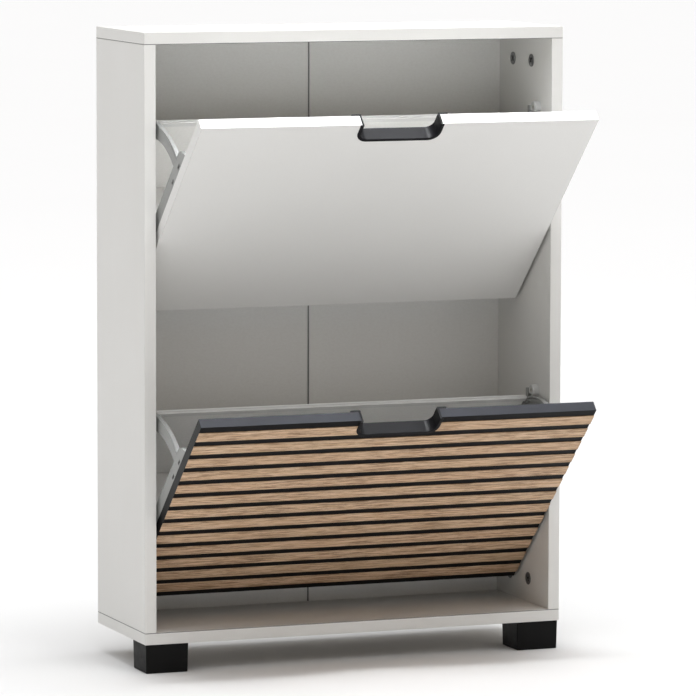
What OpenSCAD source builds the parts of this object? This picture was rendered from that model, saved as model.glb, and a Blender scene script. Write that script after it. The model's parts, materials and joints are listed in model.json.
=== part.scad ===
// Two-flap shoe cabinet: a board carcass with two block feet in front, hung on the wall behind,
// and two tilting shoe trays.
// Both flaps are drawn open, resting on their stops. Millimetres, +Z up, front towards -Y.

/* [Carcass] */
// Overall width
body_w = 600; // [500:10:800]
// Depth from the front edges to the rear edges
body_d = 200; // [196:1:230]
// Height of the carcass without its feet
body_h = 815; // [815:1:880]
// Thickness of the melamine boards
board = 16; // [15:1:18]
// Distance from the back panel's inner face to the rear edges
back_inset = 18; // [12:1:20]
// Thickness of the hardboard back panel
back_t = 3; // [2.5:0.5:4]

/* [Feet] */
// Height of a foot
foot_h = 39; // [30:1:60]
// Width of a foot, across the cabinet
foot_w = 60; // [50:1:70]
// Depth of a foot, front to rear
foot_d = 54; // [48:1:60]
// How far a foot stands in from the carcass's edges
foot_inset = 1.5; // [0:0.5:6]
// How much each side of a foot tapers in towards the floor
foot_taper = 0.8; // [0:0.2:3]

/* [Flaps] */
// Width of a flap
flap_w = 560; // [460:10:760]
// Height of a flap
flap_h = 383; // [380:1:384]
// Thickness of a flap
flap_t = 16; // [15:1:18]
// Gap between the bottom board and the closed lower flap
flap_bottom_gap = 4; // [3:0.5:6]
// Height step from the lower flap to the upper flap
flap_pitch = 389; // [389:1:391]
// How far a flap tilts open, in degrees
tilt = 46.5; // [40:0.5:46.5]
// Distance of the hinge axis behind the flap's front face
pivot_in = 25; // [24:1:26]
// Height of the hinge axis above the flap's bottom edge
pivot_up = 141.5; // [139:0.5:141.5]

/* [Slatted front] */
// Number of oak slats on the lower flap
slat_count = 13; // [8:1:13]
// Height of a slat
slat_h = 18.5; // [12:0.5:20]
// Gap between two slats
slat_gap = 10; // [6:0.5:10]
// How far a slat stands out from the black board
slat_t = 1.2; // [0.8:0.2:2]

/* [Grips] */
// Width of the cut-out at a flap's top edge
grip_w = 113.6; // [90:0.2:140]
// Depth of the cut-out
grip_depth = 31; // [24:0.5:34]
// Corner radius of the cut-out
grip_r = 14; // [8:0.5:18]

/* [Trays] */
// Inside radius of a side plate's curved arm, about the hinge axis
arm_r_in = 124.5; // [120:0.5:126]
// Outside radius of that arm
arm_r_out = 142.5; // [141:0.5:143]
// Distance from a flap's front face to the tray's rear edge
tray_depth = 155; // [150:1:156]
// Distance from a flap's top edge down to the tray's underside
tray_bottom = 318.6; // [300:0.2:320]
// Distance from a flap's top edge down to the rear board's edge trim
rear_top = 166.5; // [164:0.5:172]
// Thickness of the tray's floor board
floor_t = 12; // [10:1:15]
// Thickness of the tray's rear board
rear_t = 3; // [2.5:0.5:4]

/* [Hidden] */
$fn = 48;
eps = 0.01;

// Frame: the origin is on the floor, under the middle of the footprint with the flaps open.
lip_t = 1;
front_reach = (flap_h - pivot_up) * sin(tilt) + (pivot_in + lip_t) * cos(tilt) - pivot_in;
y_front = -round((body_d - front_reach) / 2);
z_base = foot_h;
z_floor = z_base + board;
z_ceiling = z_base + body_h - board;
inner_half = body_w / 2 - board;
y_back = y_front + body_d - back_inset;
pivot_y = y_front + pivot_in;
pivot_zs = [for (level = [0, 1]) z_floor + flap_bottom_gap + pivot_up + level * flap_pitch];

// Back panel
groove_depth = 7;
groove_play = 0.1;
strip_w = 5;
strip_t = 0.8;
strip_groove_w = 2.4;
strip_groove_d = 0.5;

// Joints between the boards: cam locks with their bolts, and wooden dowels
cam_ys = [70, 134];
dowel_ys = [30, 104, 168];
cam_offset = 33;
cam_r = 7.5;
cam_h = 12;
cam_rim_r = 8.7;
cam_rim_t = 0.8;
bolt_r = 2.5;
bolt_in_panel = 11;
dowel_r = 4;
dowel_in_side = 20;
dowel_in_panel = 10;
hole_play = 0.05;
end_play = 0.5;

// Wall hangers
hanger_x = 14;
hanger_w = 40;
hanger_h = 50;
hanger_t = 2;
key_r = 5;
slot_r = 2.5;
key_slot = 14;

// Foot screws
foot_screw_inset = 16;
foot_bore_depth = 22;
foot_bore_r = 5;

// Hinge pins and bushes
pin_r = 4;
pin_play = 0.05;
pin_in_side = 10.5;
bush_r = 7;
bush_depth = 12;
bush_flange_r = 9.5;
bush_flange_t = 2.5;

// Stop buffers, round with a flat underside, placed from the hinge axis
stop_r = 9;
stop_y = 18.7;
stop_z = 152;
stop_flat = 4;
stop_screw_z = stop_z + 1.5;
stop_t = 9;
stop_edge = 1;
stop_gap = 0.3;

// Flap places, measured from the hinge axis with the flap closed
front = -pivot_in;
rear_face = front + flap_t;
flap_top = flap_h - pivot_up;
flap_left = -flap_w / 2;

// Grip trim
grip_wall = 2.6;
lip_over = 2.2;
flange_over = 11;
flange_t = 2.5;

// Side plates
web = 2.5;
rib = 2.5;
rib_w = 6;
thin_rib_w = 4.5;
channel_w = 9;
arm_w = 18.5;
tray_y1 = front + tray_depth;
tray_z0 = flap_top - tray_bottom;
rear_arm_w = 21;
bottom_arm_h = 20;
foot_of_plate = 372;
mount_flange_w = 16;
spur_low = 89;
spur_high = 72;
spur_y = stop_y - stop_r - stop_gap;
nose_w = 6.5;
nose_top = 155;
slot_play = 0.1;
mark_angles = [3, 14];
// The arm's outer edge rises towards its rear end: angle from the top, and extra radius
rise = [[33, 0], [39, 2.2], [45, 3.4], [52, 4], [62, 4.4]];
plate_screws = [102, 134, 286, 350];
screw_x = 11;
boss_r = 9;
window_w = 4.5;
window_h = 9;

// Tray boards
rear_y0 = tray_y1 - rib - slot_play - rear_t;
rear_z0 = tray_z0 + rib + slot_play;
rear_z1 = flap_top - rear_top;
floor_z0 = tray_z0 + rib + slot_play;
edge_w = 6.4;
edge_leg = 7;
edge_skin = 1.2;
edge_groove = 1;
board_half = flap_w / 2 - web - 0.2;
floor_screw_ys = [20, 90];

// Slats
slat_block = slat_count * slat_h + (slat_count - 1) * slat_gap;
slat_margin = (flap_h - slat_block) / 2;
slat_chamfer = 0.4;

// Two digits, for the names of the slats
function two(n) = n < 10 ? str("0", n) : str(n);
function slat_name(i) = str("lower_slat_", two(i));

TRAY_PARTS = ["front_panel", "grip_trim", "grip_screws", "left_side_plate", "right_side_plate",
    "rear_board", "rear_edge_trim", "floor_board", "plate_screws", "floor_screws", "pivot_pins"];

// ---- helpers ----

// Its children on the left, and mirrored on the right
module both_sides() {
    children();
    mirror([1, 0, 0]) children();
}

// A flat outline in Y and Z, made solid from x0 to x1
module along_x(x0, x1) {
    translate([x0, 0, 0]) rotate([90, 0, 90]) linear_extrude(x1 - x0) children();
}

// A flat outline in X and Z, made solid from y0 to y1
module along_y(y0, y1) {
    translate([0, y1, 0]) rotate([90, 0, 0]) linear_extrude(y1 - y0) children();
}

// A round bar along +X from the origin
module bar_x(r, h) {
    rotate([0, 90, 0]) cylinder(r = r, h = h);
}

// The cross recess in a screw's head, cut down from z = 0
module cross_recess(r, depth) {
    for (turn = [0, 90])
        rotate([0, 0, turn]) translate([-r, -r / 5, -depth]) cube([2 * r, 2 * r / 5, depth + 1]);
}

// A pan-head screw: the head's seat at z = 0, the shank down -Z
module pan_screw(shank_r, length, head_r, head_h) {
    difference() {
        union() {
            translate([0, 0, -length]) cylinder(r = shank_r, h = length + eps);
            cylinder(r1 = head_r, r2 = head_r * 0.8, h = head_h);
        }
        translate([0, 0, head_h]) cross_recess(head_r * 0.5, head_h * 0.6);
    }
}

// A countersunk screw: the head's flat top at z = 0, the shank down -Z
module flat_screw(shank_r, length, head_r) {
    head_h = head_r - shank_r;
    difference() {
        union() {
            translate([0, 0, -length]) cylinder(r = shank_r, h = length - head_h + eps);
            translate([0, 0, -head_h]) cylinder(r1 = shank_r, r2 = head_r, h = head_h);
        }
        cross_recess(head_r * 0.55, head_h * 0.7);
    }
}

// ---- carcass ----

// Each joint site of the left side board, with +Z running into that board from the joint
module at_joints(ys) {
    for (y = ys) {
        translate([-inner_half - board / 2, y_front + y, z_floor]) children();
        translate([-inner_half - board / 2, y_front + y, z_ceiling]) mirror([0, 0, 1]) children();
    }
}

// The groove that holds the back panel, in a board with its inner face at z = 0, along X
module back_groove(half) {
    translate([-half, y_back - groove_play, -groove_depth])
        cube([2 * half, back_t + 2 * groove_play, groove_depth + 1]);
}

module joint_holes_in_panel() {
    at_joints(cam_ys) translate([0, 0, -bolt_in_panel - end_play])
        cylinder(r = bolt_r, h = bolt_in_panel + end_play + 1);
    at_joints(dowel_ys) translate([0, 0, -dowel_in_panel - end_play])
        cylinder(r = dowel_r, h = dowel_in_panel + end_play + 1);
}

module top_panel() {
    color("white") difference() {
        translate([-body_w / 2, y_front, z_ceiling]) cube([body_w, body_d, board]);
        both_sides() joint_holes_in_panel();
        translate([0, 0, z_ceiling]) mirror([0, 0, 1]) back_groove(inner_half + groove_depth);
        both_sides() translate([-inner_half + hanger_x, 0, 0]) each_hanger_screw()
            translate([0, 0, -1]) cylinder(r = 1.8, h = 13);
    }
}

module bottom_panel() {
    color("white") difference() {
        translate([-body_w / 2, y_front, z_base]) cube([body_w, body_d, board]);
        both_sides() joint_holes_in_panel();
        translate([0, 0, z_floor]) back_groove(inner_half + groove_depth);
        each_foot_screw() translate([0, 0, z_base - 1]) cylinder(r = 1.8, h = 13);
    }
}

module side_panel() {
    color("white") difference() {
        translate([-body_w / 2, y_front, z_floor]) cube([board, body_d, z_ceiling - z_floor]);
        at_joints(cam_ys) {
            translate([0, 0, -1]) cylinder(r = 3.6, h = cam_offset + 1);
            translate([board / 2 - cam_h, 0, cam_offset]) bar_x(cam_r + hole_play, cam_h + 1);
        }
        at_joints(dowel_ys) translate([0, 0, -1])
            cylinder(r = dowel_r, h = dowel_in_side + end_play + 1);
        translate([-inner_half - groove_depth, y_back - groove_play, z_floor - 1])
            cube([groove_depth + 1, back_t + 2 * groove_play, z_ceiling - z_floor + 2]);
        for (z = pivot_zs) translate([-inner_half, pivot_y, z]) {
            translate([-bush_depth, 0, 0]) bar_x(bush_r, bush_depth + 1);
            translate([-10, stop_y, stop_screw_z]) bar_x(1.6, 11);
        }
    }
}

module back_panel_half() {
    color("whitesmoke")
        translate([-inner_half - groove_depth + end_play, y_back, z_floor - groove_depth + end_play])
        cube([inner_half + groove_depth - end_play - strip_t, back_t,
              z_ceiling - z_floor + 2 * (groove_depth - end_play)]);
}

// An H-shaped strip that joins the two halves of the back, with a groove down its front
module back_joint_strip() {
    height = z_ceiling - z_floor - 2 * groove_play;
    color("gainsboro") translate([0, 0, z_floor + groove_play]) difference() {
        union() {
            translate([-strip_t, y_back, 0]) cube([2 * strip_t, back_t, height]);
            for (y = [y_back - strip_t, y_back + back_t])
                translate([-strip_w / 2, y, 0]) cube([strip_w, strip_t, height]);
        }
        translate([-strip_groove_w / 2, y_back - strip_t - 1, -1])
            cube([strip_groove_w, 1 + strip_groove_d, height + 2]);
    }
}

// The two screws of each foot, at their places on the floor plan
module each_foot_screw() {
    for (x = [-1, 1]) for (k = [-1, 1])
        translate([x * (body_w / 2 - foot_inset - foot_w / 2) + k * (foot_w / 2 - foot_screw_inset),
                   y_front + foot_inset + foot_d / 2, 0]) children();
}

// A block foot at the front left corner, tapered a little towards the floor
module foot() {
    x0 = -body_w / 2 + foot_inset;
    y0 = y_front + foot_inset;
    t = foot_taper;
    color([0.07, 0.07, 0.07]) difference() {
        intersection() {
            along_y(y0 - 1, y0 + foot_d + 1)
                polygon([[x0 + t, 0], [x0 + foot_w - t, 0], [x0 + foot_w, foot_h], [x0, foot_h]]);
            along_x(x0 - 1, x0 + foot_w + 1)
                polygon([[y0 + t, 0], [y0 + foot_d - t, 0], [y0 + foot_d, foot_h], [y0, foot_h]]);
        }
        each_foot_screw() {
            translate([0, 0, -1]) cylinder(r = 2.2, h = foot_h + 2);
            translate([0, 0, -1]) cylinder(r = foot_bore_r, h = foot_bore_depth + 1);
        }
    }
}

module foot_screws() {
    color("silver") each_foot_screw() translate([0, 0, foot_bore_depth])
        mirror([0, 0, 1]) pan_screw(1.75, foot_h - foot_bore_depth + bolt_in_panel, 4, 2.6);
}

// The keyhole plate at the top left rear corner, which hangs on a screw in the wall
module wall_hanger() {
    y0 = y_back + back_t + 1;
    y1 = y_front + body_d;
    key_z = z_ceiling - hanger_h + 14;
    translate([-inner_half + hanger_x, 0, 0]) difference() {
        union() {
            translate([0, y1 - hanger_t, z_ceiling - hanger_h]) cube([hanger_w, hanger_t, hanger_h]);
            translate([0, y0, z_ceiling - hanger_t]) cube([hanger_w, y1 - y0, hanger_t]);
        }
        translate([hanger_w / 2, 0, key_z]) along_y(y1 - hanger_t - 1, y1 + 1) {
            circle(key_r);
            translate([-slot_r, 0]) square([2 * slot_r, key_slot]);
            translate([0, key_slot]) circle(slot_r);
        }
        each_hanger_screw() translate([0, 0, -hanger_t - 1]) cylinder(r = 2.1, h = hanger_t + 2);
    }
}

// A hanger's two screw sites, on the top board's underside
module each_hanger_screw() {
    for (x = [-1, 1]) translate([hanger_w / 2 + x * hanger_w / 4, y_back + back_t + 6.5, z_ceiling])
        children();
}

module wall_hangers() {
    color("silver") both_sides() wall_hanger();
}

module wall_hanger_screws() {
    color("silver") both_sides() translate([-inner_half + hanger_x, 0, 0]) each_hanger_screw()
        translate([0, 0, -hanger_t]) mirror([0, 0, 1]) pan_screw(1.75, 13, 3.6, 2.2);
}

// A cam with a rim that covers the edge of its bore
module cam_lock() {
    difference() {
        union() {
            translate([board / 2 - cam_h, 0, cam_offset]) bar_x(cam_r, cam_h + eps);
            translate([board / 2, 0, cam_offset]) bar_x(cam_rim_r, cam_rim_t);
        }
        translate([0, 0, cam_offset - cam_r - 1]) cylinder(r = 3.3, h = cam_r + 5);
        translate([board / 2 + cam_rim_t, 0, cam_offset]) rotate([0, 90, 0]) rotate([0, 0, 45])
            cross_recess(5.4, 2.6);
    }
}

module cam_locks() {
    color("slategray") both_sides() at_joints(cam_ys) cam_lock();
}

module cam_bolts() {
    color("silver") both_sides() at_joints(cam_ys) {
        translate([0, 0, -bolt_in_panel]) cylinder(r = bolt_r - hole_play, h = bolt_in_panel + eps);
        cylinder(r = 3.2, h = cam_offset - 10);
        cylinder(r = 1.8, h = cam_offset - 2);
        translate([0, 0, cam_offset - 4]) cylinder(r = 2.9, h = 4);
    }
}

module wooden_dowels() {
    color("burlywood") both_sides() at_joints(dowel_ys) translate([0, 0, -dowel_in_panel])
        cylinder(r = dowel_r - hole_play, h = dowel_in_panel + dowel_in_side);
}

// ---- hinge hardware in the carcass ----

// The two hinge sites of the left side board, on its inner face
module at_pivots() {
    for (z = pivot_zs) translate([-inner_half, pivot_y, z]) children();
}

module pivot_bushes() {
    color("dimgray") both_sides() at_pivots() difference() {
        union() {
            translate([-bush_depth, 0, 0]) bar_x(bush_r - hole_play, bush_depth + eps);
            bar_x(bush_flange_r, bush_flange_t);
        }
        translate([-pin_in_side - end_play, 0, 0]) bar_x(pin_r + pin_play, bush_depth + bush_flange_t);
    }
}

// The buffer between a side plate's spur and nose, which stops the flap at both ends
module stop_buffer() {
    difference() {
        translate([0, stop_y, stop_z]) intersection() {
            union() {
                bar_x(stop_r, stop_t - stop_edge);
                translate([stop_t - stop_edge, 0, 0]) rotate([0, 90, 0])
                    cylinder(r1 = stop_r, r2 = stop_r - stop_edge, h = stop_edge);
            }
            translate([-1, -stop_r - 1, -stop_flat]) cube([stop_t + 2, 2 * stop_r + 2, 2 * stop_r]);
        }
        translate([-1, stop_y, stop_screw_z]) bar_x(2, stop_t + 2);
        translate([stop_t - 2.2, stop_y, stop_screw_z])
            rotate([0, 90, 0]) cylinder(r1 = 1.9, r2 = 4.1, h = 2.2 + eps);
    }
}

module stop_buffers() {
    color("lightgray") both_sides() at_pivots() stop_buffer();
}

module stop_screws() {
    color("silver") both_sides() at_pivots()
        translate([stop_t, stop_y, stop_screw_z]) rotate([0, 90, 0]) flat_screw(1.55, 18, 3.7);
}

// ---- flaps and trays, drawn closed about the hinge axis and tilted open ----

module in_flap(level) {
    translate([0, pivot_y, pivot_zs[level]]) rotate([tilt, 0, 0]) children();
}

// A slot open at the flap's top edge, with round lower corners
module u_shape(half, depth, r, above) {
    intersection() {
        union() {
            translate([-half, flap_top - depth + r]) square([2 * half, depth - r + above]);
            translate([-half + r, flap_top - depth]) square([2 * (half - r), depth + above]);
            for (x = [-1, 1]) translate([x * (half - r), flap_top - depth + r]) circle(r);
        }
        translate([-half - 1, flap_top - depth - 1]) square([2 * half + 2, depth + 1 + above]);
    }
}

// The screw sites in the grip trim's rear flange
module each_grip_screw() {
    for (x = [-1, 1]) {
        translate([x * (grip_w / 2 + flange_over / 2), 0, flap_top - grip_depth / 2]) children();
        translate([x * grip_w / 3, 0, flap_top - grip_depth - flange_over / 2]) children();
    }
}

// The screw sites in the left side plate's mounting flange
module each_plate_screw() {
    for (s = plate_screws) translate([flap_left + screw_x, 0, flap_top - s]) children();
}

// A flap's panel. The slats of a slatted one make up the rest of its thickness.
module front_panel(skin, paint) {
    color(paint) difference() {
        translate([flap_left, front + skin, -pivot_up]) cube([flap_w, flap_t - skin, flap_h]);
        along_y(front - 1, rear_face + 1) u_shape(grip_w / 2, grip_depth, grip_r, 1);
        each_grip_screw() translate([0, rear_face + 1, 0]) rotate([90, 0, 0]) cylinder(r = 1.2, h = 10);
        both_sides() each_plate_screw() translate([0, rear_face + 1, 0]) rotate([90, 0, 0])
            cylinder(r = 1.6, h = 12);
    }
}

// The U-shaped trim that lines a grip cut-out, with a front lip and a rear flange
module grip_trim() {
    color([0.1, 0.1, 0.11]) difference() {
        union() {
            along_y(front - lip_t, front)
                u_shape(grip_w / 2 + lip_over, grip_depth + lip_over, grip_r + lip_over, 0);
            along_y(front - eps, rear_face + eps)
                u_shape(grip_w / 2 - hole_play, grip_depth - hole_play, grip_r, 0);
            along_y(rear_face, rear_face + flange_t)
                u_shape(grip_w / 2 + flange_over, grip_depth + flange_over, grip_r + flange_over, 0);
        }
        along_y(front - lip_t - 1, rear_face + flange_t + 1)
            u_shape(grip_w / 2 - grip_wall, grip_depth - grip_wall, grip_r - grip_wall, 1);
        each_grip_screw() translate([0, rear_face + flange_t + 1, 0]) rotate([90, 0, 0])
            cylinder(r = 1.4, h = flange_t + 2);
    }
}

module grip_screws() {
    color("dimgray") each_grip_screw() translate([0, rear_face + flange_t, 0])
        rotate([-90, 0, 0]) pan_screw(1.15, 9, 2.6, 1.4);
}

// A point at a radius and an angle from the top, about the hinge axis
function polar(r, a) = [r * sin(a), r * cos(a)];

// The curved arm of a side plate, in from its outer edge by some width
module arm(width) {
    last = len(rise) - 1;
    intersection() {
        union() {
            difference() {
                circle(arm_r_out, $fn = 120);
                circle(arm_r_out - width, $fn = 120);
            }
            polygon(concat([for (p = rise) polar(arm_r_out + p[1], p[0])],
                [for (i = [last : -1 : 0]) polar(arm_r_out + rise[i][1] - width, rise[i][0])]));
        }
        translate([rear_face, 30]) square([tray_y1 - rear_face, arm_r_out]);
    }
}

// The moulded mark in the arm's outer face, close to its edge
module arm_mark() {
    intersection() {
        difference() {
            circle(arm_r_out - 1.2, $fn = 120);
            circle(arm_r_out - 2.8, $fn = 120);
        }
        polygon([[0, 0], polar(200, mark_angles[0]), polar(200, mark_angles[1])]);
    }
}

// The spur that meets the stop buffer when the flap is closed
module spur() {
    polygon([[rear_face, arm_r_out - 20], [spur_y, arm_r_out - 20], [spur_y, flap_top - spur_low],
             [spur_y - 4, flap_top - spur_low + 7], [rear_face, flap_top - spur_high]]);
}

// The nose that meets the stop buffer when the flap is open
module nose() {
    rotate(-tilt) translate([stop_y + stop_r + stop_gap, arm_r_out - 8])
        square([nose_w, nose_top - arm_r_out + 8]);
}

module plate_outline() {
    translate([rear_face, flap_top - foot_of_plate]) square([arm_w, foot_of_plate - 90]);
    arm(arm_r_out - arm_r_in);
    spur();
    nose();
    translate([tray_y1 - rear_arm_w, tray_z0]) square([rear_arm_w, 60 - tray_z0]);
    translate([rear_face, tray_z0]) square([tray_depth - flap_t, bottom_arm_h]);
}

// The rib along the arm's inner edge
module inner_rim() {
    intersection() {
        difference() {
            circle(arm_r_in + rib - 0.5, $fn = 120);
            circle(arm_r_in, $fn = 120);
        }
        translate([rear_face, 30]) square([tray_y1 - rear_face, arm_r_out]);
    }
}

// The stiffening ribs round a side plate
module plate_ribs() {
    along_x(0, rib_w) {
        arm(rib);
        nose();
        spur();
        circle(boss_r);
    }
    along_x(0, thin_rib_w) {
        inner_rim();
        translate([rear_face + arm_w - 2, tray_z0 + bottom_arm_h])
            square([2, arm_r_in - bottom_arm_h - tray_z0 - 2]);
        translate([tray_y1 - rear_arm_w, tray_z0 + bottom_arm_h - 2])
            square([2, 50 - tray_z0 - bottom_arm_h]);
    }
    along_x(0, channel_w) {
        translate([rear_y0 - slot_play - rib, tray_z0])
            square([tray_y1 - rear_y0 + slot_play + rib, 66 - tray_z0]);
        translate([rear_face, tray_z0]) square([tray_depth - flap_t, floor_t + 2 * rib + 2 * slot_play]);
    }
    along_x(0, mount_flange_w)
        translate([rear_face, flap_top - foot_of_plate]) square([rib, foot_of_plate - spur_low]);
}

// The slots in a side plate that take the tray's rear board and floor board
module board_slots() {
    translate([web, rear_y0 - slot_play, rear_z0 - slot_play])
        cube([mount_flange_w, rear_t + 2 * slot_play, rear_z1 - rear_z0 + 1]);
    translate([web, rear_face + rib, floor_z0 - slot_play])
        cube([mount_flange_w, rear_y0 - rear_face, floor_t + 2 * slot_play]);
}

module left_side_plate() {
    color("lightgray") translate([flap_left, 0, 0]) difference() {
        union() {
            along_x(0, web) plate_outline();
            plate_ribs();
        }
        board_slots();
        along_x(-1, 1.2) arm_mark();
        translate([-1, 0, 0]) bar_x(pin_r, rib_w + 2);
        for (k = [0, 1]) translate([-1, rear_face + rib + 0.2, flap_top - plate_screws[k] - window_h / 2])
            cube([web + 1.5, window_w, window_h]);
        for (s = plate_screws) translate([screw_x, rear_face - 1, flap_top - s])
            rotate([-90, 0, 0]) cylinder(r = 1.9, h = rib + 2);
        for (y = floor_screw_ys) translate([0, y, floor_z0 + floor_t / 2]) rotate([0, 90, 0]) {
            translate([0, 0, -1]) cylinder(r = 1.8, h = web + 2);
            translate([0, 0, -eps]) cylinder(r1 = 3.8, r2 = 1.7, h = 2.1);
        }
    }
}

module plate_screws_of_flap() {
    color("silver") both_sides() each_plate_screw() translate([0, rear_face + rib, 0])
        rotate([-90, 0, 0]) pan_screw(1.55, 12, 3.4, 2);
}

module rear_board() {
    color("whitesmoke") translate([-board_half, rear_y0, rear_z0])
        cube([2 * board_half, rear_t, rear_z1 - edge_skin - rear_z0]);
}

// The plastic profile on the rear board's top edge
module rear_edge_trim() {
    half = flap_w / 2 - rib_w - 0.3;
    mid = rear_y0 + rear_t / 2;
    color("white") difference() {
        translate([-half, mid - edge_w / 2, rear_z1 - edge_leg]) cube([2 * half, edge_w, edge_leg]);
        translate([-half - 1, rear_y0 - hole_play, rear_z1 - edge_leg - 1])
            cube([2 * half + 2, rear_t + 2 * hole_play, edge_leg + 1 - edge_skin + hole_play]);
        translate([-half - 1, mid - edge_groove / 2, rear_z1 - edge_skin / 2])
            cube([2 * half + 2, edge_groove, 2]);
    }
}

module floor_board() {
    color("white") difference() {
        translate([-board_half, rear_face + rib + slot_play, floor_z0])
            cube([2 * board_half, rear_y0 - rear_face - rib - 2 * slot_play, floor_t]);
        both_sides() for (y = floor_screw_ys) translate([-board_half - 1, y, floor_z0 + floor_t / 2])
            bar_x(1.5, 24);
    }
}

module floor_screws() {
    color("silver") both_sides() for (y = floor_screw_ys)
        translate([flap_left, y, floor_z0 + floor_t / 2]) rotate([0, -90, 0]) flat_screw(1.45, 24, 3.5);
}

module pivot_pins() {
    reach = inner_half + pin_in_side - flap_w / 2;
    color("silver") both_sides() translate([flap_left - reach, 0, 0]) bar_x(pin_r, reach + rib_w);
}

// One oak slat, counted from the top. The first one makes room for the grip.
module slat(i) {
    z1 = flap_top - slat_margin - (i - 1) * (slat_h + slat_gap);
    z0 = z1 - slat_h;
    y1 = front + slat_t;
    c = slat_chamfer;
    color([0.76, 0.6, 0.42]) difference() {
        along_x(flap_left, -flap_left) polygon([[y1, z0], [y1, z1], [front + c, z1], [front, z1 - c],
            [front, z0 + c], [front + c, z0]]);
        along_y(front - 1, y1 + 1)
            u_shape(grip_w / 2, grip_depth, grip_r, 1);
    }
}

module tray_part(name, level) {
    skin = level == 0 ? slat_t : 0;
    paint = level == 0 ? [0.13, 0.13, 0.14] : [0.95, 0.95, 0.95];
    in_flap(level) {
        if (name == "front_panel") front_panel(skin, paint);
        if (name == "grip_trim") grip_trim();
        if (name == "grip_screws") grip_screws();
        if (name == "left_side_plate") left_side_plate();
        if (name == "right_side_plate") mirror([1, 0, 0]) left_side_plate();
        if (name == "rear_board") rear_board();
        if (name == "rear_edge_trim") rear_edge_trim();
        if (name == "floor_board") floor_board();
        if (name == "plate_screws") plate_screws_of_flap();
        if (name == "floor_screws") floor_screws();
        if (name == "pivot_pins") pivot_pins();
    }
}

top_panel();
bottom_panel();
side_panel();  // left_side_panel
mirror([1, 0, 0]) side_panel();  // right_side_panel
back_panel_half();  // back_panel_left
mirror([1, 0, 0]) back_panel_half();  // back_panel_right
back_joint_strip();
foot();  // left_foot
mirror([1, 0, 0]) foot();  // right_foot
foot_screws();
wall_hangers();
wall_hanger_screws();
cam_locks();
cam_bolts();
wooden_dowels();
pivot_bushes();
stop_buffers();
stop_screws();
for (name = TRAY_PARTS) {
    tray_part(name, 1);
    tray_part(name, 0);
}
for (i = [1 : slat_count])
    in_flap(0) slat(i);
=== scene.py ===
import json
import math

import bmesh
import bpy
from mathutils import Matrix, Vector

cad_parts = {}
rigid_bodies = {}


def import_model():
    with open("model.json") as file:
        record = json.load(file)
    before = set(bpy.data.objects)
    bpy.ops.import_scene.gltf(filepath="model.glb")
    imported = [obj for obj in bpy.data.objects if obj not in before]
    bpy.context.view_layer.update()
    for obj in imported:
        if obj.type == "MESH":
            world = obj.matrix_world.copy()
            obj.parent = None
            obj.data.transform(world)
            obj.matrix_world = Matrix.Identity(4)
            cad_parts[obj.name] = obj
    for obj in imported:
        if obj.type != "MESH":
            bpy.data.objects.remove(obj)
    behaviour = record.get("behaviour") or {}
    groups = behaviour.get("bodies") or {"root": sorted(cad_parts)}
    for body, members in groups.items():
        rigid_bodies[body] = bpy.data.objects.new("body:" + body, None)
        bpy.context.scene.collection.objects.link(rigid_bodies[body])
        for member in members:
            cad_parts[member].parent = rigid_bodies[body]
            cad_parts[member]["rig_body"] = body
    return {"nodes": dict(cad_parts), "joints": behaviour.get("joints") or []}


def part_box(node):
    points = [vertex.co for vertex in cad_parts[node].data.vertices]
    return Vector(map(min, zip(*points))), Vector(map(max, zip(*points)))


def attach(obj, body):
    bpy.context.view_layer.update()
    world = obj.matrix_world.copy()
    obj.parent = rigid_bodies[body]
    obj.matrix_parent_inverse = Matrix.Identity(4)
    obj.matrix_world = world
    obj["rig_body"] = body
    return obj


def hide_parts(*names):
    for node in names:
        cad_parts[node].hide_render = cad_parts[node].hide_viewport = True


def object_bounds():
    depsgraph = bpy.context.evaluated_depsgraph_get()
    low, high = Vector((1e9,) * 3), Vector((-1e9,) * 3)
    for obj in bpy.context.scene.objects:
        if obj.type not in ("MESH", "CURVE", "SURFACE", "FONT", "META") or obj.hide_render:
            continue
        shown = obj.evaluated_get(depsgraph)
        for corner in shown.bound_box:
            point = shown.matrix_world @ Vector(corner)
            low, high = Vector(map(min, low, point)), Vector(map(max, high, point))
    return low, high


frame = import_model()


def plain(bounds):
    return [[float(v) for v in corner] for corner in bounds]


cad_box = plain(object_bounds())
nodes = frame["nodes"]
hinges = {j["child"]: Vector(j["pos_m"]) for j in frame["joints"]}
tilt = math.radians(-frame["joints"][0]["range_deg"][0])
MM = 0.001

# A closed flap's faces and edges, about its hinge axis
FRONT = -25 * MM
REAR = -9 * MM
TOP = 241.5 * MM
BOTTOM = -141.5 * MM
HALF = 280 * MM

SLATS = 13
BOARD_EDGE = 0.5 * MM  # how far a board's edges are rounded
SHEET_EDGE = 0.2 * MM
SHORT_EDGE = 4 * MM  # edges up to this long stay sharp on boards
WELD = 2e-6
FLAT = math.radians(0.6)  # faces that turn less than this are joined
SHARP = math.radians(38)  # edges that turn more than this are shaded sharp

# Sockets of a colour mix node, which are many under one name
MIX_FACTOR, MIX_A, MIX_B, MIX_RESULT = 0, 6, 7, 2


def body_of(node):
    return nodes[node]["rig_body"]


def to_open(body, p):
    """Where a closed flap's point, given about its hinge axis, is with the flap open, at rest."""
    if body not in hinges:
        return Vector(p)
    return Matrix.Rotation(tilt, 3, "X") @ Vector(p) + hinges[body]


def to_local(body, p):
    """The reverse: a point at rest, as it is about the hinge axis with the flap closed."""
    if body not in hinges:
        return Vector(p)
    return Matrix.Rotation(-tilt, 3, "X") @ (Vector(p) - hinges[body])


# ---- materials ----


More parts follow.
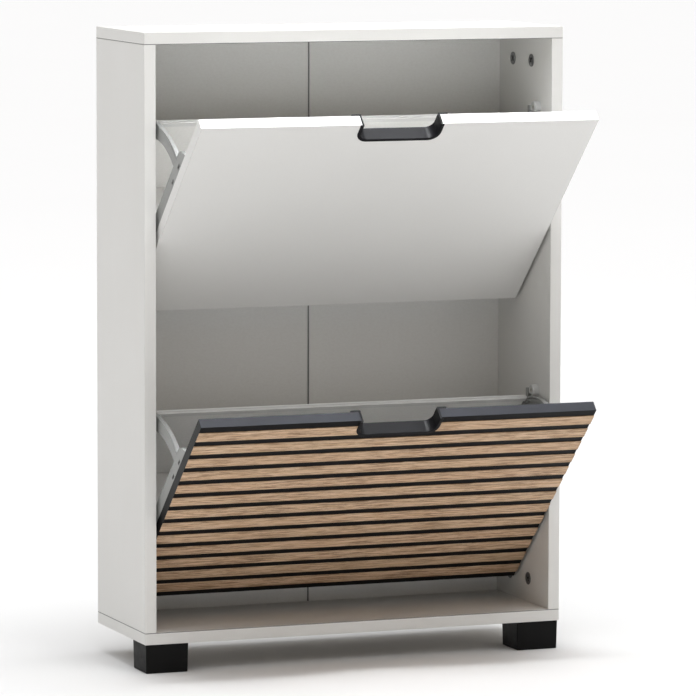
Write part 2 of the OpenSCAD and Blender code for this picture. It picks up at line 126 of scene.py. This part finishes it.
class Graph:
    """A material's nodes. A value that is a socket is linked, any other is set."""

    def __init__(self, name):
        self.mat = bpy.data.materials.new(name)
        self.mat.use_nodes = True
        self.tree = self.mat.node_tree
        self.tree.nodes.clear()

    def add(self, kind, props=None, inputs=None, out=0):
        n = self.tree.nodes.new(kind)
        for key, value in (props or {}).items():
            setattr(n, key, value)
        for key, value in (inputs or {}).items():
            self.put(n.inputs[key], value)
        return n.outputs[out]

    def put(self, socket, value):
        if isinstance(value, bpy.types.NodeSocket):
            self.tree.links.new(value, socket)
        elif socket.type == "RGBA" and len(value) == 3:
            socket.default_value = (*value, 1)
        else:
            socket.default_value = value

    def local(self, scale=(1, 1, 1), shift=(0, 0, 0)):
        """The coordinates stored on the piece, scaled and shifted."""
        at = self.add("ShaderNodeAttribute", {"attribute_name": "local"}, out="Vector")
        return self.add("ShaderNodeMapping", None,
                        {"Vector": at, "Scale": scale, "Location": shift})

    def noise(self, vector, scale, detail=3, rough=0.5, warp=0.0):
        return self.add("ShaderNodeTexNoise", None,
                        {"Vector": vector, "Scale": scale, "Detail": detail,
                         "Roughness": rough, "Distortion": warp})

    def math(self, op, a, b=0.0):
        return self.add("ShaderNodeMath", {"operation": op}, {0: a, 1: b})

    def map_range(self, value, from_low, from_high, to_low, to_high):
        return self.add("ShaderNodeMapRange", None,
                        {"Value": value, 1: from_low, 2: from_high, 3: to_low, 4: to_high})

    def ramp(self, value, *stops):
        """A colour ramp: stops are (position, colour), where a colour may be one grey value."""
        n = self.tree.nodes.new("ShaderNodeValToRGB")
        while len(n.color_ramp.elements) < len(stops):
            n.color_ramp.elements.new(0.5)
        for element, (at, colour) in zip(n.color_ramp.elements, stops):
            element.position = at
            rgb = colour if hasattr(colour, "__len__") else (colour,) * 3
            element.color = (*rgb, 1)
        self.put(n.inputs[0], value)
        return n.outputs[0]

    def axes(self):
        """The piece's own coordinates, as one socket each for x, y and z."""
        xyz = self.tree.nodes.new("ShaderNodeSeparateXYZ")
        self.put(xyz.inputs[0], self.local())
        return xyz.outputs

    def mix(self, factor, a, b, kind="MIX"):
        n = self.tree.nodes.new("ShaderNodeMix")
        n.data_type = "RGBA"
        n.blend_type = kind
        self.put(n.inputs[MIX_FACTOR], factor)
        self.put(n.inputs[MIX_A], a)
        self.put(n.inputs[MIX_B], b)
        return n.outputs[MIX_RESULT]

    def bump(self, height, strength, distance, under=None):
        inputs = {"Height": height, "Strength": strength, "Distance": distance}
        if under is not None:
            inputs["Normal"] = under
        return self.add("ShaderNodeBump", None, inputs)

    def finish(self, colour, rough, normal=None, **sockets):
        shader = self.tree.nodes.new("ShaderNodeBsdfPrincipled")
        self.put(shader.inputs["Base Color"], colour)
        self.put(shader.inputs["Roughness"], rough)
        if normal is not None:
            self.put(shader.inputs["Normal"], normal)
        for key, value in sockets.items():
            self.put(shader.inputs[key.replace("_", " ")], value)
        out = self.tree.nodes.new("ShaderNodeOutputMaterial")
        self.tree.links.new(shader.outputs[0], out.inputs[0])
        return self.mat


def seams(g, lines):
    """1 on the thin joints between boards, or between a board's edging and its faces, else 0."""
    xyz = g.axes()
    total = None
    for axis, at, half_width in lines:
        off = g.math("ABSOLUTE", g.math("SUBTRACT", xyz["XYZ".index(axis)], at))
        line = g.math("LESS_THAN", off, half_width)
        total = line if total is None else g.math("MAXIMUM", total, line)
    return total


def melamine(name, low, high, rough, lines=(), pearl=0.05, gloss=0.5, parts=()):
    """Melamine facing: a faint pearl texture, clouds in its colour and wiped patches in its gloss.

    lines are thin dark joints. parts are (axis, beyond, colour): past that place the facing takes
    that colour, which the black board uses for its grey inner face and a painted sheen on its top
    edge.
    """
    speck_shade, line_shade, line_cover = 0.9, 0.12, 0.9
    g = Graph(name)
    clouds = g.noise(g.local(), 9, 4)
    specks = g.noise(g.local(), 700, 2)
    colour = g.mix(clouds, low, high)
    speck_colour = tuple(v * speck_shade for v in low)
    colour = g.mix(g.ramp(specks, (0.35, 0.0), (0.75, 0.12)), colour, speck_colour)
    if lines:
        cover = g.math("MULTIPLY", seams(g, lines), line_cover)
        colour = g.mix(cover, colour, tuple(v * line_shade for v in low))
    for axis, beyond, own in parts:
        colour = g.mix(g.math("GREATER_THAN", g.axes()[axis], beyond), colour, own)
    wiped = g.noise(g.local((1, 1, 0.35)), 14, 5, 0.6, 0.6)
    roughness = g.map_range(wiped, 0.3, 0.7, rough - 0.05, rough + 0.07)
    normal = g.bump(g.noise(g.local(), 1300, 2), pearl, 0.1 * MM)
    normal = g.bump(g.noise(g.local(), 60, 2), pearl * 0.6, 0.3 * MM, normal)
    return g.finish(colour, roughness, normal, Specular_IOR_Level=gloss)


def oak(name, seed):
    """Oak with its grain along the slat: growth bands, fibres, pores and a tone of its own."""
    dark_grain, pale_fibre, pore = (0.20, 0.115, 0.062), (0.74, 0.54, 0.375), (0.23, 0.125, 0.065)
    g = Graph(name)
    shift = (seed * 0.37, seed * 0.11, seed * 0.53)  # no two slats show the same grain
    long = g.local((1, 6, 6), shift)
    bend = g.noise(g.local((1.2, 3, 5), shift), 2.2, 2)
    bands = g.add("ShaderNodeTexWave", {"wave_type": "BANDS", "bands_direction": "Z"},
                  {"Vector": g.mix(0.16, long, bend, "ADD"), "Scale": 26.0, "Distortion": 3.5,
                   "Detail": 3.0, "Detail Scale": 1.2, "Detail Roughness": 0.6})
    streaks = g.noise(g.local((3.2, 46, 46), shift), 9, 6, 0.68)
    fibres = g.noise(g.local((5, 190, 190), shift), 5, 4, 0.75)
    tone = g.noise(g.local((1, 1, 1), shift), 5, 3)
    base = g.ramp(bands, (0.0, (0.41, 0.255, 0.145)), (0.55, (0.50, 0.325, 0.195)),
                  (1.0, (0.57, 0.385, 0.24)))
    base = g.mix(g.ramp(streaks, (0.45, 0.0), (0.53, 1.0)), base, dark_grain)
    base = g.mix(g.ramp(fibres, (0.46, 0.0), (0.56, 0.9)), base, pale_fibre)
    lift = 0.94 + 0.12 * ((seed * 7) % 5) / 4  # each slat's own tone, of five
    own_tone = (0.54, 0.365 * lift, 0.225 * lift)
    base = g.mix(g.ramp(tone, (0.3, 0.0), (0.7, 0.35)), base, own_tone)
    cells = g.add("ShaderNodeTexVoronoi", {"feature": "F1"},
                  {"Vector": g.local((38, 900, 900), shift), "Scale": 1.0, "Randomness": 1.0})
    pores = g.ramp(cells, (0.05, 1.0), (0.22, 0.0))
    patches = g.ramp(g.noise(g.local((2, 40, 40), shift), 6, 2), (0.45, 0.0), (0.6, 0.75))
    pores = g.math("MULTIPLY", pores, patches)
    base = g.mix(g.math("MULTIPLY", pores, 0.55), base, pore)
    rough = g.ramp(streaks, (0.3, 0.62), (0.7, 0.5))
    height = g.math("SUBTRACT", g.math("MULTIPLY", fibres, 0.5), pores)
    normal = g.bump(height, 0.22, 0.12 * MM)
    return g.finish(base, rough, normal, Specular_IOR_Level=0.25)


def plastic(name, low, high, rough, depth, grain=1500, gloss=0.5):
    """Moulded plastic: a spark-eroded grain, faint flow clouds and rubbed patches."""
    g = Graph(name)
    flow = g.noise(g.local((1, 2, 0.6)), 26, 4, 0.55, 0.8)
    colour = g.mix(flow, low, high)
    rubbed = g.ramp(g.noise(g.local(), 45, 5, 0.65), (0.35, rough - 0.07), (0.7, rough + 0.08))
    eroded = g.noise(g.local(), grain, 3, 0.6)
    normal = g.bump(eroded, depth, 0.12 * MM)
    return g.finish(colour, rubbed, normal, Specular_IOR_Level=gloss)


def metal(name, low, high, rough):
    """Plated or cast metal, with patchy plating and fine drawn marks."""
    g = Graph(name)
    blotch = g.noise(g.local(), 160, 4, 0.6)
    colour = g.mix(blotch, low, high)
    marks = g.noise(g.local((30, 300, 300)), 22, 3, 0.7)
    roughness = g.ramp(marks, (0.3, rough - 0.1), (0.7, rough + 0.12))
    return g.finish(colour, roughness, g.bump(marks, 0.12, 0.06 * MM), Metallic=1.0)


def hardboard(name, low, high):
    """Painted hardboard: clouds in its paint, with its fibres showing through."""
    g = Graph(name)
    fibres = g.noise(g.local((1, 1, 1.6)), 240, 5, 0.65)
    clouds = g.noise(g.local(), 5, 3)
    colour = g.mix(clouds, low, high)
    colour = g.mix(g.ramp(fibres, (0.4, 0.0), (0.8, 0.25)), colour, (0.66, 0.64, 0.60))
    normal = g.bump(fibres, 0.1, 0.15 * MM)
    return g.finish(colour, g.ramp(clouds, (0.3, 0.5), (0.7, 0.6)), normal, Specular_IOR_Level=0.4)


def dowel_wood(name):
    """Turned beech, with its grain along the dowel."""
    g = Graph(name)
    grain = g.noise(g.local((300, 300, 12)), 3, 4, 0.6)
    colour = g.ramp(grain, (0.3, (0.5, 0.34, 0.2)), (0.7, (0.66, 0.49, 0.32)))
    return g.finish(colour, 0.62, g.bump(grain, 0.3, 0.2 * MM))


# The joints that show as lines on the boards, in the case's and the flaps' own coordinates
edging, hairline, gap, half_gap = 0.8 * MM, 0.06 * MM, 0.42 * MM, 0.5 * MM
y_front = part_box("bottom_panel")[0].y
z_floor, z_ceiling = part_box("bottom_panel")[1].z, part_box("top_panel")[0].z
case_lines = [("Y", y_front + edging, hairline),
              ("Z", z_floor - half_gap, gap), ("Z", z_ceiling + half_gap, gap)]
flap_lines = [("X", -HALF + edging, hairline), ("X", HALF - edging, hairline),
              ("Z", TOP - edging, hairline), ("Z", BOTTOM + edging, hairline)]
strip_groove = [("X", 0.0, 1.15 * MM)]

# The lower flap's black board gets a paler, bluish top edge, a painted sheen of the light from
# above, and a grey inner face
Y, Z = 1, 2
black_top_sheen_and_grey_face = ((Z, TOP - 0.1 * MM, (0.044, 0.046, 0.054)),
               (Y, REAR - 0.1 * MM, (0.30, 0.295, 0.285)))

MATS = {
    "case": melamine("white_melamine_case", (0.735, 0.728, 0.70), (0.765, 0.758, 0.732),
                     0.42, case_lines),
    "flap": melamine("white_melamine_flap", (0.765, 0.76, 0.738), (0.79, 0.785, 0.763),
                     0.40, flap_lines),
    "black_flap": melamine("black_melamine", (0.004, 0.004, 0.0045), (0.007, 0.007, 0.0075),
                           0.42, pearl=0.09, gloss=0.1, parts=black_top_sheen_and_grey_face),
    "back": hardboard("painted_hardboard_back", (0.82, 0.82, 0.795), (0.87, 0.87, 0.845)),
    "tray": hardboard("painted_hardboard_tray", (0.87, 0.865, 0.845), (0.90, 0.895, 0.875)),
    "white_plastic": plastic("white_plastic", (0.74, 0.74, 0.725), (0.80, 0.80, 0.785),
                             0.38, depth=0.05),
    "buffer": plastic("pale_grey_plastic", (0.56, 0.57, 0.56), (0.63, 0.635, 0.62),
                      0.36, depth=0.08),
    "strip": melamine("joint_strip", (0.80, 0.80, 0.78), (0.84, 0.84, 0.82), 0.4, strip_groove),
    "grey_plastic": plastic("grey_plastic", (0.27, 0.275, 0.265), (0.32, 0.325, 0.315),
                            0.42, depth=0.1),
    "black_plastic": plastic("black_plastic", (0.005, 0.005, 0.006), (0.009, 0.009, 0.0105),
                             0.40, grain=1300, depth=0.16, gloss=0.12),
    "foot_plastic": plastic("foot_plastic", (0.003, 0.003, 0.003), (0.0055, 0.0055, 0.0055),
                            0.5, grain=1100, depth=0.2, gloss=0.14),
    "zinc": metal("zinc_plate", (0.56, 0.56, 0.53), (0.70, 0.69, 0.64), 0.32),
    "black_zinc": metal("black_zinc", (0.045, 0.045, 0.048), (0.09, 0.09, 0.092), 0.45),
    "cast_zinc": metal("cast_zinc", (0.22, 0.22, 0.225), (0.33, 0.33, 0.33), 0.48),
    "beech": dowel_wood("beech_dowel"),
}

# ---- pieces ----


def piece(name, body, bm, material, stands_for):
    """Makes a mesh object of bm that rides on body.

    Its points' places with the flap closed are stored for its material, so a look stays on the
    piece when it moves.
    """
    bmesh.ops.recalc_face_normals(bm, faces=bm.faces)
    for face in bm.faces:
        face.smooth = True
    for edge in bm.edges:
        is_sharp = len(edge.link_faces) == 2 and edge.calc_face_angle(0) > SHARP
        edge.smooth = not is_sharp
    mesh = bpy.data.meshes.new(name)
    bm.to_mesh(mesh)
    bm.free()
    store = mesh.attributes.new("local", "FLOAT_VECTOR", "POINT")
    flat = []
    for v in mesh.vertices:
        flat.extend(to_local(body, v.co))
    store.data.foreach_set("vector", flat)
    ob = bpy.data.objects.new(name, mesh)
    bpy.context.scene.collection.objects.link(ob)
    mesh.materials.append(material)
    normals = ob.modifiers.new("normals", "WEIGHTED_NORMAL")
    normals.keep_sharp = True
    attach(ob, body)
    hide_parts(*stands_for)


def welded(node):
    """A copy of a CAD node's mesh with its corners joined and its flat faces whole."""
    bm = bmesh.new()
    bm.from_mesh(nodes[node].data)
    bmesh.ops.remove_doubles(bm, verts=bm.verts, dist=WELD)
    bmesh.ops.dissolve_limit(bm, angle_limit=FLAT, verts=bm.verts, edges=bm.edges)
    return bm


def ease(bm, radius, steps, over, shortest, clamp):
    """Rounds the edges of bm that turn by more than over degrees and are longer than shortest."""
    chosen = [e for e in bm.edges if len(e.link_faces) == 2
              and e.calc_face_angle(0) > math.radians(over) and e.calc_length() > shortest]
    bmesh.ops.bevel(bm, geom=chosen, offset=radius, segments=steps, profile=0.5, affect="EDGES",
                    clamp_overlap=clamp)


def eased_copy(node, radius, material, steps=2, over=30, shortest=0.0, clamp=True):
    """The visual piece of a CAD node: its mesh with its edges rounded, unless the radius is 0."""
    bm = welded(node)
    if radius:
        ease(bm, radius, steps, over, shortest, clamp)
    piece(node + "_finished", body_of(node), bm, material, (node,))


def board(node, material, radius=BOARD_EDGE):
    eased_copy(node, radius, MATS[material], clamp=False, shortest=SHORT_EDGE)


def hardware(node, material="zinc"):
    """A small piece whose edges are left as they are."""
    eased_copy(node, 0, MATS[material])


for node in ("top_panel", "bottom_panel", "left_side_panel", "right_side_panel"):
    board(node, "case")
for node in ("back_panel_left", "back_panel_right"):
    eased_copy(node, SHEET_EDGE, MATS["back"])
eased_copy("back_joint_strip", SHEET_EDGE, MATS["strip"], clamp=False)
for node in ("left_foot", "right_foot"):
    eased_copy(node, 1.3 * MM, MATS["foot_plastic"], steps=3, clamp=False,
               shortest=5 * MM)
eased_copy("stop_buffers", 0.3 * MM, MATS["buffer"], over=60)
eased_copy("wall_hangers", 0.25 * MM, MATS["zinc"], over=60)
eased_copy("pivot_bushes", 0.3 * MM, MATS["grey_plastic"], clamp=False,
           shortest=0.5 * MM)
hardware("cam_locks", "cast_zinc")
hardware("wooden_dowels", "beech")
for node in ("foot_screws", "wall_hanger_screws", "cam_bolts", "stop_screws"):
    hardware(node)

for level, facing, slot in (("upper_", "flap", "white_melamine"),
                            ("lower_", "black_flap", "black_melamine")):
    board(level + "front_panel", facing)
    for side in ("left", "right"):
        eased_copy(level + side + "_side_plate", 0.3 * MM, MATS["grey_plastic"],
                   clamp=False, shortest=3 * MM)
    eased_copy(level + "rear_board", SHEET_EDGE, MATS["tray"])
    eased_copy(level + "rear_edge_trim", 0.45 * MM, MATS["white_plastic"],
               steps=3, clamp=False)
    board(level + "floor_board", "flap", 0.4 * MM)
    for node in ("grip_screws", "floor_screws", "pivot_pins"):
        hardware(level + node)
    hardware(level + "plate_screws", "black_zinc")

for i in range(1, SLATS + 1):
    eased_copy("lower_slat_%02d" % i, 0.22 * MM, oak("oak_%02d" % i, i))


def rounded_profile(corners, steps=4):
    """A closed outline with its corners rounded. Corners are (n, y, radius), where n is how far
    out from the sweep's path they are."""
    out = []
    count = len(corners)
    for i, (n, y, r) in enumerate(corners):
        here = Vector((n, y))
        before = Vector(corners[i - 1][:2]) - here
        after = Vector(corners[(i + 1) % count][:2]) - here
        if r <= 0:
            out.append(here)
            continue
        a, b = here + before.normalized() * r, here + after.normalized() * r
        for k in range(steps + 1):
            t = k / steps
            out.append(a.lerp(here, t).lerp(here.lerp(b, t), t))
    return out


def grip(body, level):
    """The grip's trim: one section swept round the cut-out, with a front lip and a rear flange."""
    half, depth, corner = 56.8 * MM, 31 * MM, 14 * MM  # the path: the cut-out's edge
    straight, turns = 3 * MM, 12
    wall, lip, flange = 2.6 * MM, 2.2 * MM, 11 * MM
    proud_front, proud_rear, sunk = 1 * MM, 2.5 * MM, 0.05 * MM
    left, right = Vector((-1, 0)), Vector((1, 0))
    stops = [(Vector((-half, TOP)), left), (Vector((-half, TOP - straight)), left)]
    for side, start in ((-1, 180), (1, 270)):
        centre = Vector((side * (half - corner), TOP - depth + corner))
        for k in range(turns + 1):
            a = math.radians(start + k * 90 / turns)
            out = Vector((math.cos(a), math.sin(a)))
            stops.append((centre + out * corner, out))
    stops += [(Vector((half, TOP - straight)), right), (Vector((half, TOP)), right)]
    front, rear = FRONT - proud_front, REAR + proud_rear
    section = rounded_profile([
        (-wall, front, 0.7 * MM), (lip, front, 0.55 * MM), (lip, FRONT, 0), (-sunk, FRONT, 0),
        (-sunk, REAR, 0), (flange, REAR, 0), (flange, rear, 0.6 * MM), (-wall, rear, 0.9 * MM)])
    bm = bmesh.new()
    rings = []
    for point, out in stops:
        ring = []
        for n, y in section:
            at = point + out * n
            ring.append(bm.verts.new(to_open(body, (at.x, y, at.y))))
        rings.append(ring)
    size = len(section)
    for one, two in zip(rings, rings[1:]):
        for k in range(size):
            after = (k + 1) % size
            bm.faces.new((one[k], one[after], two[after], two[k]))
    bm.faces.new(rings[0])
    bm.faces.new(list(reversed(rings[-1])))
    node = level + "grip_trim"
    piece(node + "_finished", body, bm, MATS["black_plastic"], (node,))


grip("upper_flap", "upper_")
grip("lower_flap", "lower_")

# ---- floor, light and camera ----


def pale_floor():
    """A plain pale floor: darker near the cabinet with a painted shadow, and fading to white far
    off.
    """
    near_shadow, far_glow = 0.13, 0.22
    below = 0.2 * MM  # keeps it clear of the feet
    g = Graph("pale_floor")
    at = g.add("ShaderNodeTexCoord", out="Object")
    clouds = g.noise(at, 0.8, 3)
    far = g.add("ShaderNodeVectorMath", {"operation": "LENGTH"}, {0: at}, out="Value")
    glow = g.map_range(far, 0.9, 3.5, 0.0, far_glow)
    colour = g.mix(clouds, (0.79, 0.785, 0.775), (0.81, 0.805, 0.795))
    # painted shadow: the floor is darkened near the cabinet, where the cabinet's shade falls
    painted_shadow = g.map_range(far, 0.3, 1.3, near_shadow, 0.0)
    mat = g.finish(g.mix(painted_shadow, colour, (0.2, 0.195, 0.185)), 0.85, Specular_IOR_Level=0.1,
                   Emission_Color=(1, 1, 1, 1), Emission_Strength=glow)
    bm = bmesh.new()
    bmesh.ops.create_grid(bm, x_segments=8, y_segments=8, size=60)
    mesh = bpy.data.meshes.new("floor")
    bm.to_mesh(mesh)
    bm.free()
    mesh.materials.append(mat)
    floor = bpy.data.objects.new("floor", mesh)
    floor.location.z = cad_box[0][2] - below
    bpy.context.scene.collection.objects.link(floor)


def studio(more_from_right, *stops):
    """Soft light from all round, and more of it from +x.

    stops set it by height above the horizon: (sine of the height, strength, tint).
    """
    world = bpy.data.worlds.new("studio")
    world.use_nodes = True
    tree = world.node_tree
    at = tree.nodes.new("ShaderNodeTexCoord")
    split = tree.nodes.new("ShaderNodeSeparateXYZ")
    ramp = tree.nodes.new("ShaderNodeValToRGB")
    ramp.color_ramp.interpolation = "EASE"
    while len(ramp.color_ramp.elements) < len(stops):
        ramp.color_ramp.elements.new(0.5)
    for element, (height, strength, tint) in zip(ramp.color_ramp.elements, stops):
        element.position = height
        element.color = (*(strength * v for v in tint), 1)
    side = tree.nodes.new("ShaderNodeMath")
    side.operation = "MULTIPLY_ADD"
    side.inputs[1].default_value = more_from_right
    side.inputs[2].default_value = 1.0
    tree.links.new(at.outputs["Generated"], split.inputs[0])
    tree.links.new(split.outputs["Z"], ramp.inputs[0])
    tree.links.new(split.outputs["X"], side.inputs[0])
    tree.links.new(ramp.outputs[0], tree.nodes["Background"].inputs[0])
    tree.links.new(side.outputs[0], tree.nodes["Background"].inputs[1])
    bpy.context.scene.world = world


def area_light(name, place, aim, size, watts, tint, spread=180):
    """A soft rectangular light at place that faces aim, with its spread in degrees."""
    data = bpy.data.lights.new(name, "AREA")
    data.shape = "RECTANGLE"
    data.size, data.size_y = size
    data.energy = watts
    data.color = tint
    data.spread = math.radians(spread)
    light = bpy.data.objects.new(name, data)
    bpy.context.scene.collection.objects.link(light)
    light.location = place
    light.rotation_euler = (Vector(aim) - Vector(place)).to_track_quat("-Z", "Y").to_euler()


def camera(place, yaw, pitch, roll, lens):
    """A camera on a 36 mm sensor, turned yaw to the right and pitch down, then rolled."""
    cam = bpy.data.cameras.new("camera")
    cam.lens = lens
    cam.sensor_width = 36
    cam.clip_end = 200
    ob = bpy.data.objects.new("camera", cam)
    bpy.context.scene.collection.objects.link(ob)
    ahead = Vector((math.sin(yaw) * math.cos(pitch), math.cos(yaw) * math.cos(pitch),
                    -math.sin(pitch)))
    right = Vector((math.cos(yaw), -math.sin(yaw), 0))
    up = right.cross(ahead)
    side = right * math.cos(roll) + up * math.sin(roll)
    top = up * math.cos(roll) - right * math.sin(roll)
    turn = Matrix((side, top, -ahead)).transposed()
    ob.matrix_world = Matrix.Translation(place) @ turn.to_4x4()
    bpy.context.scene.camera = ob


pale_floor()
neutral, warm, cool = (1, 1, 1), (1.18, 0.98, 0.80), (0.985, 1.0, 1.025)
# Pale at the horizon, dim just above it so that the cabinet's inside stays dark, bright overhead
studio(0.3, (0.0, 0.98, neutral), (0.045, 0.95, neutral), (0.09, 0.15, warm), (0.42, 0.2, warm),
       (0.72, 1.0, cool), (1.0, 1.85, cool))
area_light("key", place=(-3.2, -1.8, 3.4), aim=(0, 0, 0.5), size=(2.4, 2.4), watts=13, tint=cool)
area_light("top", place=(0.1, -0.42, 3.2), aim=(0, -0.1, 0.8), size=(2.0, 1.4), watts=57,
           tint=cool)
area_light("tray", place=(0, -0.44, 1.45), aim=(0, -0.135, 0.62), size=(0.5, 0.10), watts=0.65,
           tint=cool, spread=38)
bpy.context.scene.view_settings.view_transform = "Standard"
bpy.context.scene.view_settings.look = "None"
camera(Vector((-2.440, -6.280, 1.159)), yaw=math.radians(21.19), pitch=math.radians(6.22),
       roll=math.radians(0.14), lens=260.2)
